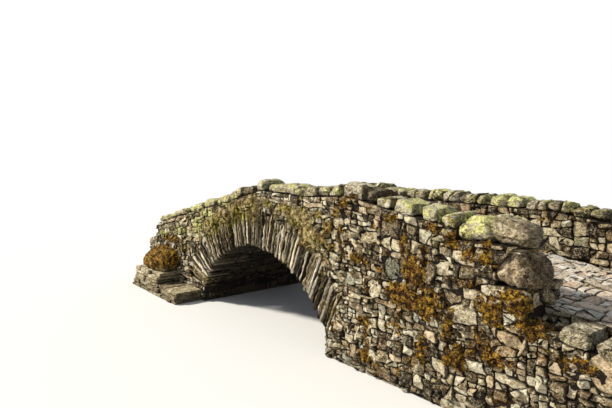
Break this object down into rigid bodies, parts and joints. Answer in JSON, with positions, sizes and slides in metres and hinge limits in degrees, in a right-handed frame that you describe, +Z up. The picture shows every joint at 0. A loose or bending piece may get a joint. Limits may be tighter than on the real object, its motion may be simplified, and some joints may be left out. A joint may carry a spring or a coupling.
{
  "type": "packhorse bridge",
  "caption": "Humped single-arch packhorse bridge of slate rubble, with a ring of thin slates on edge, rubble parapets with boulder coping and a cobbled deck.",
  "frame": {"origin": "middle of the bridge's plan, on the level floor that its abutments stand on", "axes": "+X along the bridge towards its end pier and boulders, +Y across it from the near face to the far face, +Z up"},
  "size_m": [9.5, 4.04, 2.295],
  "materials": {
    "walling": "rough dry-laid rubble",
    "vault_stone": "rough",
    "slate": "riven",
    "hearting": "rough",
    "cobbles": "worn",
    "coping_stone": "rough with lichen",
    "boulder": "rough",
    "mossy_boulder": "mossy"
  },
  "bodies": {
    "root": {"left_abutment": "walling", "right_abutment": "walling", "left_vault": "vault_stone", "crown_vault": "vault_stone", "right_vault": "vault_stone", "near_ring_left": "slate", "near_ring_crown": "slate", "near_ring_right": "slate", "far_ring_left": "slate", "far_ring_crown": "slate", "far_ring_right": "slate", "near_spandrel_left": "walling", "near_spandrel_right": "walling", "far_spandrel_left": "walling", "far_spandrel_right": "walling", "near_crown_wall": "walling", "far_crown_wall": "walling", "left_hearting": "hearting", "right_hearting": "hearting", "left_deck": "cobbles", "crown_deck": "cobbles", "right_deck": "cobbles", "near_parapet_left": "walling", "near_parapet_right": "walling", "far_parapet_left": "walling", "far_parapet_right": "walling", "near_coping_left": "coping_stone", "near_coping_crown": "coping_stone", "near_coping_right": "coping_stone", "far_coping_left": "coping_stone", "far_coping_crown": "coping_stone", "far_coping_right": "coping_stone", "end_pier": "walling", "end_boulder": "boulder", "end_coping_boulder": "boulder", "kerb_slabs": "coping_stone", "near_footing": "boulder", "far_footing": "boulder", "left_boulder": "mossy_boulder"}
  },
  "joints": []
}
